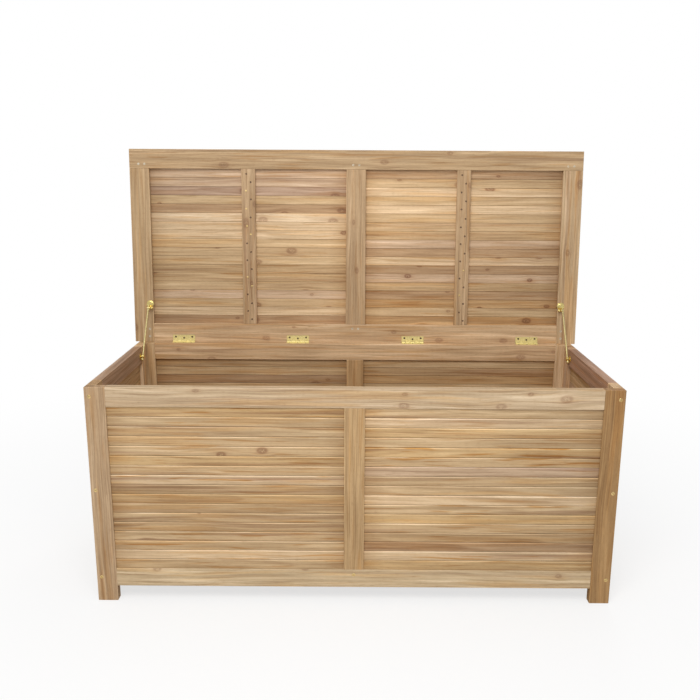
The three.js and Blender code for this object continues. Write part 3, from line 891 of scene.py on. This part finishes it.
def stay_pivot_pin(side, sign, pivot):
    """The pin through lug and eye, with a ball on its inner end and a head on its outer one."""
    node = f"{side}_stay_pivot_pin"
    neck = abs(pivot.x) - EYE_WIDTH / 2 - PLAY - LUG_THICKNESS
    head = abs(pivot.x) + EYE_WIDTH / 2 + PLAY
    knob = KNOB_RADIUS
    profile = [(0, neck - 2 * knob)]
    steps = 14
    for step in range(1, steps):
        turn = math.pi * step / steps
        radius = knob * math.sin(turn)
        height = neck - knob - knob * math.cos(turn)
        if turn > math.pi / 2 and radius < PIVOT_RADIUS + 0.4 * mm:
            break
        profile.append((radius, height))
    profile += [
        (PIVOT_RADIUS, neck - 0.2 * mm), (PIVOT_RADIUS, head), (PIVOT_HEAD_RADIUS, head),
        (PIVOT_HEAD_RADIUS, head + 0.6 * PIVOT_HEAD_THICKNESS),
        (0.75 * PIVOT_HEAD_RADIUS, head + PIVOT_HEAD_THICKNESS), (0, head + PIVOT_HEAD_THICKNESS),
    ]
    shape = turned(lathe(profile, 40), facing(sign * X, (0, pivot.y, pivot.z)))
    metal_piece(f"{node}_brass", shape, "lid", BRASS, node)


def along_rod(centre, pivot, swivel):
    """The matrix that moves a shape drawn along z onto the line of a rod, about this centre."""
    tilt = math.atan2(swivel.y - pivot.y, pivot.z - swivel.z)
    return Matrix.Translation(centre) @ Matrix.Rotation(tilt, 4, "X")


def stay_rod(side, pivot, swivel):
    """The rod with its eye, ferrule and stop, drawn down from the eye and turned to the swivel."""
    node = f"{side}_stay_rod"
    span = (swivel - pivot).length
    stop = -span - BOSS_RADIUS - STOP_PLAY
    top = -(LUG_RADIUS + EYE_RADIUS) / 2
    bead = 0.5 * mm
    shaft = lathe([
        (0, stop - STOP_LENGTH), (STOP_RADIUS - bead, stop - STOP_LENGTH),
        (STOP_RADIUS, stop - STOP_LENGTH + bead), (STOP_RADIUS, stop - bead),
        (STOP_RADIUS - bead, stop), (ROD_RADIUS, stop), (ROD_RADIUS, -FERRULE_END),
        (ROD_RADIUS + bead, -FERRULE_END + bead), (FERRULE_RADIUS, -FERRULE_END + 2 * bead),
        (FERRULE_RADIUS, top - 2 * bead), (0.8 * FERRULE_RADIUS, top), (0, top),
    ], 40)
    across = facing(X, (0, 0, 0))
    eye = turned(rounded_rod(EYE_RADIUS, -EYE_WIDTH / 2, EYE_WIDTH / 2, 0.6 * mm), across)
    bore = turned(rounded_rod(PIVOT_RADIUS + PLAY, -EYE_WIDTH, EYE_WIDTH, 0), across)
    shape = combined(combined(shaft, eye, "UNION"), bore, "DIFFERENCE")
    shape = turned(shape, along_rod(pivot, pivot, swivel))
    metal_piece(f"{node}_brass", shape, f"{side}_rod", ROD_BRASS, node)


def stay_swivel(side, sign, pivot, swivel):
    """The drum that the rod slides through, with the trunnion that turns in the box plate."""
    node = f"{side}_stay_swivel"
    low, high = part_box(node)
    end = abs(low.x if sign < 0 else high.x) - abs(swivel.x)
    radius, half = BOSS_RADIUS, BOSS_HALF_WIDTH
    barrel = lathe([
        (0, -half), (0.8 * radius, -half), (radius, -0.75 * half), (radius, 0.75 * half),
        (0.8 * radius, half - PLAY), (TRUNNION_RADIUS, half - PLAY),
        (TRUNNION_RADIUS, end), (0, end),
    ], 40)
    barrel = turned(barrel, facing(sign * X, (0, 0, 0)))
    width, reach = ROD_RADIUS + PLAY, 2 * radius
    hole = lathe([(0, -reach), (width, -reach), (width, reach), (0, reach)])
    shape = combined(barrel, hole, "DIFFERENCE")
    shape = turned(shape, along_rod(swivel, pivot, swivel))
    metal_piece(f"{node}_brass", shape, f"{side}_swivel", BRASS, node)


def stay_box_plate(side, sign, swivel):
    node = f"{side}_stay_box_plate"
    low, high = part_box(node)
    wall = low.x if sign < 0 else high.x
    thickness = high.x - low.x
    radius = BOX_PLATE_RADIUS
    plate = lathe([
        (0, 0), (radius, 0), (radius, 0.4 * thickness), (0.9 * radius, 0.62 * thickness),
        (0.62 * radius, 0.7 * thickness), (0.5 * radius, thickness), (0, thickness),
    ], 56)
    bore = rounded_rod(TRUNNION_RADIUS + PLAY, -mm, thickness + mm, 0)
    shape = combined(plate, bore, "DIFFERENCE")
    centre = Vector((wall, swivel.y, swivel.z))
    metal_piece(f"{node}_brass", turned(shape, facing(-sign * X, centre)), "box", BRASS, node)
    radius, reach = BOX_PLATE_SCREW
    places = [
        (centre + Vector((-sign * 0.66 * thickness, 0, 0)) + step, -sign * X)
        for step in (reach * Z, -reach * Z)
    ]
    screws(f"{side}_stay_box_screws", places, radius, "box", SCREW_BRASS, f"{side} stay box")


def lid_stays():
    for side, sign in (("left", -1), ("right", 1)):
        pivot = Vector(JOINTS[f"{side}_rod_pivot"]["pos_m"])
        swivel = Vector(JOINTS[f"{side}_swivel_turn"]["pos_m"])
        shut_pivot = TO_SHUT @ pivot
        stay_lid_plate(side, sign, shut_pivot)
        stay_pivot_pin(side, sign, shut_pivot)
        stay_rod(side, pivot, swivel)
        stay_swivel(side, sign, pivot, swivel)
        stay_box_plate(side, sign, swivel)


# ---------------------------------------------------------------- screws and pegs in the wood


def frame_screws():
    """Brass screws through the legs into the end walls, and through the rails into a bearer."""
    sunk = 0.25 * mm
    for wall, out in (("front", -Y), ("back", Y)):
        face = BOX_LOW.y + sunk if wall == "front" else BOX_HIGH.y - sunk
        left, right = BOX_LOW.x + LEG_SCREW_FROM_EDGE, BOX_HIGH.x - LEG_SCREW_FROM_EDGE
        for side, edge in (("left", left), ("right", right)):
            places = [(Vector((edge, face, height)), out) for height in LEG_SCREW_HEIGHTS]
            name = f"{wall}_{side}_leg_screws"
            screws(name, places, LEG_SCREW_RADIUS, "box", SCREW_BRASS, name)
        name = f"{wall}_bearer_screw"
        places = [(Vector((0, face, RAIL_SCREW_HEIGHT)), out)]
        screws(name, places, LEG_SCREW_RADIUS, "box", SCREW_BRASS, name)


def batten_screws():
    """One small screw from each batten into each slat, in two staggered rows."""
    for side in ("left", "right"):
        low, high = drawn_box(f"lid_batten_{side}")
        middle = (low.x + high.x) / 2
        pitch = (high.y - low.y) / LID_SLATS
        rows = {DARK_SCREW: [], SCREW_BRASS: []}
        draw = random.Random(f"batten {side}")
        for index in range(LID_SLATS):
            x = middle + BATTEN_SCREW_STAGGER * (1 if index % 2 else -1) + draw.uniform(-1, 1) * mm
            y = low.y + (index + 0.5) * pitch + draw.uniform(-1.5, 1.5) * mm
            material = SCREW_BRASS if draw.random() < BRIGHT_SHARE else DARK_SCREW
            rows[material].append((Vector((x, y, low.z + 0.1 * mm)), -Z))
        for label, material in (("dark", DARK_SCREW), ("bright", SCREW_BRASS)):
            name = f"batten_{side}_{label}_screws"
            screws(name, rows[material], BATTEN_SCREW_RADIUS, "lid", material, name)


def pegs():
    """Wooden pegs that lock the lid's tenons, flush with both faces."""
    front_low, front_high = drawn_box("lid_front_rail")
    rear_low, rear_high = drawn_box("lid_rear_rail")
    places = []
    for side, sign in (("left", 1), ("centre", 0), ("right", -1)):
        low, high = drawn_box(f"lid_{side}_stile")
        middle = (low.x + high.x) / 2 + sign * PEG_SHIFT
        for step in (-0.5, 0.5):
            places.append((middle + step * PEG_SPACING, front_high.y - PEG_INSET))
    for sign, node in ((1, "lid_left_stile"), (-1, "lid_right_stile")):
        low, high = drawn_box(node)
        inner = high.x if sign > 0 else low.x
        for share in (0.3, 0.7):
            y = rear_low.y + share * (rear_high.y - rear_low.y)
            places.append((inner - sign * PEG_INSET, y))
    low, high = drawn_box("lid_centre_stile")
    for step in (-0.5, 0.5):
        places.append(((low.x + high.x) / 2 + step * PEG_SPACING, rear_low.y + PEG_INSET))
    boards = []
    half = (front_high.z - front_low.z) / 2 + PEG_PROUD
    for index, (x, y) in enumerate(places):
        shape = turned(rounded_rod(PEG_RADIUS, -half, half, 0.25 * mm), facing(X, (0, 0, 0)))
        place = own_space(Y, X, Vector((x, y, (front_low.z + front_high.z) / 2)))
        boards.append((shape, place, Look(f"peg {index}", "peg", 0, 0)))
    teak_piece("lid_pegs", boards, "lid", FRAME_TEAK)


# ---------------------------------------------------------------- the studio

FLOOR_GLOW = 0.7                 # how far the floor near the box is white of itself
FLOOR_FADE = (0.8, 2.6)          # the distances over which all of it turns white
FLOOR_SHADE = (0.08, 0.20)       # the depths under the box over which that glow goes out
ROOM_LIGHT = 0.6
LIGHT_TARGET_HEIGHT = 0.55
LENS = 43.1
LENS_SHIFT = (-0.0057, 0.0314)
CAMERA_BACK, CAMERA_UP = 1.489, 0.831      # in box lengths, from the front's foot
CAMERA_PITCH, CAMERA_YAW, CAMERA_ROLL = (math.radians(turn) for turn in (13.83, 0.07, 0.35))


def white_floor():
    """A floor that takes soft shadows near the box, and is white around it but not under it."""
    bpy.ops.mesh.primitive_plane_add(size=60)
    floor = bpy.context.object
    floor.name = "studio_floor"
    paper = Shader("studio_paper")
    place = paper.add("ShaderNodeTexCoord").outputs["Object"]
    far = paper.smooth(paper.length(place), *FLOOR_FADE)
    glow = paper.math("MULTIPLY_ADD", far, 1 - FLOOR_GLOW, FLOOR_GLOW)
    half = (BOX_HIGH - BOX_LOW) / 2
    offset = paper.parts(paper.vector("SUBTRACT", place, BOX_MIDDLE))
    under = [
        paper.math("SUBTRACT", half[axis], paper.math("ABSOLUTE", offset[axis]))
        for axis in range(2)
    ]
    lit, dark = FLOOR_SHADE
    shade = paper.smooth(paper.math("MINIMUM", *under), dark, lit)
    glow = paper.math("MULTIPLY", glow, shade)
    seen = paper.add("ShaderNodeLightPath").outputs["Is Camera Ray"]
    glow = paper.math("MULTIPLY", glow, seen)
    light = paper.add("ShaderNodeEmission", (1, 1, 1, 1), 1.0).outputs[0]
    floor.data.materials.append(paper.finish((0.92, 0.92, 0.92, 1), 0.9, specular=0.1))
    mixed = paper.add("ShaderNodeMixShader", glow, paper.surface.outputs[0], light).outputs[0]
    paper.tree.links.new(mixed, paper.tree.nodes["Material Output"].inputs[0])


def white_room(strength):
    """Soft light from all around, in front of a pure white background."""
    world = bpy.data.worlds.new("studio_room")
    bpy.context.scene.world = world
    world.use_nodes = True
    tree = world.node_tree
    room = tree.nodes["Background"]
    room.inputs["Color"].default_value = (0.97, 0.985, 1.0, 1)
    room.inputs["Strength"].default_value = strength
    seen = tree.nodes.new("ShaderNodeBackground")
    seen.inputs["Color"].default_value = (1, 1, 1, 1)
    path = tree.nodes.new("ShaderNodeLightPath")
    either = tree.nodes.new("ShaderNodeMixShader")
    tree.links.new(path.outputs["Is Camera Ray"], either.inputs[0])
    tree.links.new(room.outputs[0], either.inputs[1])
    tree.links.new(seen.outputs[0], either.inputs[2])
    tree.links.new(either.outputs[0], tree.nodes["World Output"].inputs[0])


def studio():
    """The floor, the room, three large soft lights and the camera."""
    width = BOX_HIGH.x - BOX_LOW.x
    white_floor()
    white_room(ROOM_LIGHT)
    target = Vector((0, BOX_MIDDLE.y, LIGHT_TARGET_HEIGHT))
    lights = (
        ("key", Vector((-1.2, -3.2, 4.0)), 2.4, 62, (1.0, 0.985, 0.96)),
        ("near", Vector((-0.05, -1.7, 2.0)), 1.0, 17, (1.0, 0.99, 0.97)),
        ("rim", Vector((0.5, 3.2, 3.4)), 2.6, 45, (1.0, 1.0, 1.0)),
    )
    for name, place, size, power, colour in lights:
        data = bpy.data.lights.new(name, "AREA")
        data.size, data.energy, data.color = size, power, colour
        lamp = bpy.data.objects.new(name, data)
        lamp.matrix_world = facing(place - target, place)
        bpy.context.scene.collection.objects.link(lamp)

    camera = bpy.data.objects.new("camera", bpy.data.cameras.new("camera"))
    camera.data.lens = LENS
    camera.data.shift_x, camera.data.shift_y = LENS_SHIFT
    place = Vector((0, BOX_LOW.y - CAMERA_BACK * width, CAMERA_UP * width))
    camera.matrix_world = (
        Matrix.Translation(place)
        @ Matrix.Rotation(CAMERA_YAW, 4, "Z")
        @ Matrix.Rotation(math.pi / 2 - CAMERA_PITCH, 4, "X")
        @ Matrix.Rotation(CAMERA_ROLL, 4, "Z")
    )
    bpy.context.scene.collection.objects.link(camera)
    bpy.context.scene.camera = camera
    bpy.context.scene.view_settings.view_transform = "Standard"


studio()
walls()
floor_boards()
lid()
hinges()
lid_stays()
frame_screws()
batten_screws()
pegs()
